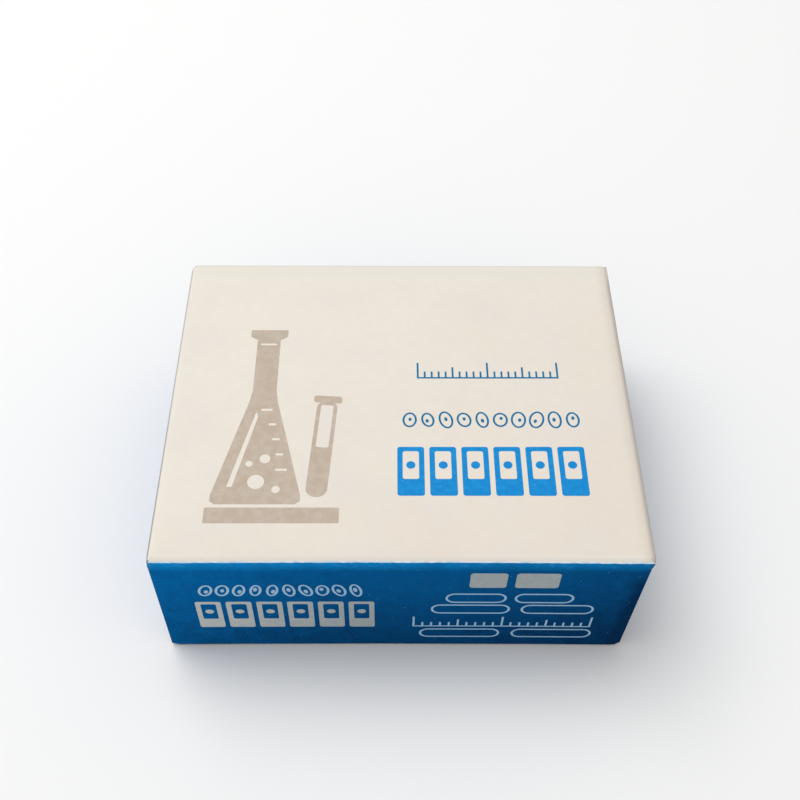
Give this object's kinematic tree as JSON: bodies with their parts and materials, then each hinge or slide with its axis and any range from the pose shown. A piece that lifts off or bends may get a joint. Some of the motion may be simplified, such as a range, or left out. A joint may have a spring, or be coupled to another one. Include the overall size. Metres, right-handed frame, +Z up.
{
  "type": "microscope slide box",
  "caption": "Printed folding-board carton, a lid over a tray, with a row of clear glass microscope slides standing on their long edges.",
  "frame": {"origin": "middle of the footprint, on the surface that the carton rests on", "axes": "+X along the slides' long edges, -Y out of the printed front wall, +Z up"},
  "size_m": [0.0808, 0.0654, 0.0296],
  "materials": {
    "printed_board": "coated, blue walls and a pale top panel",
    "grey_board": "uncoated grey",
    "slide_glass": "clear, polished faces and ground edges"
  },
  "bodies": {
    "tray": {"tray": "grey_board", "slide_01": "slide_glass", "slide_02": "slide_glass", "slide_03": "slide_glass", "slide_04": "slide_glass", "slide_05": "slide_glass", "slide_06": "slide_glass", "slide_07": "slide_glass", "slide_08": "slide_glass", "slide_09": "slide_glass", "slide_10": "slide_glass", "slide_11": "slide_glass", "slide_12": "slide_glass", "slide_13": "slide_glass", "slide_14": "slide_glass", "slide_15": "slide_glass", "slide_16": "slide_glass", "slide_17": "slide_glass", "slide_18": "slide_glass", "slide_19": "slide_glass", "slide_20": "slide_glass", "slide_21": "slide_glass", "slide_22": "slide_glass", "slide_23": "slide_glass", "slide_24": "slide_glass", "slide_25": "slide_glass", "slide_26": "slide_glass", "slide_27": "slide_glass", "slide_28": "slide_glass", "slide_29": "slide_glass", "slide_30": "slide_glass", "slide_31": "slide_glass", "slide_32": "slide_glass", "slide_33": "slide_glass", "slide_34": "slide_glass", "slide_35": "slide_glass", "slide_36": "slide_glass", "slide_37": "slide_glass", "slide_38": "slide_glass", "slide_39": "slide_glass", "slide_40": "slide_glass", "slide_41": "slide_glass", "slide_42": "slide_glass", "slide_43": "slide_glass", "slide_44": "slide_glass", "slide_45": "slide_glass", "slide_46": "slide_glass", "slide_47": "slide_glass", "slide_48": "slide_glass", "slide_49": "slide_glass", "slide_50": "slide_glass"},
    "lid": {"lid": "printed_board"}
  },
  "joints": [
    {"name": "lid_lift", "type": "slide", "parent": "tray", "child": "lid", "axis": [0, 0, 1], "range_m": [0, 0.037]}
  ]
}
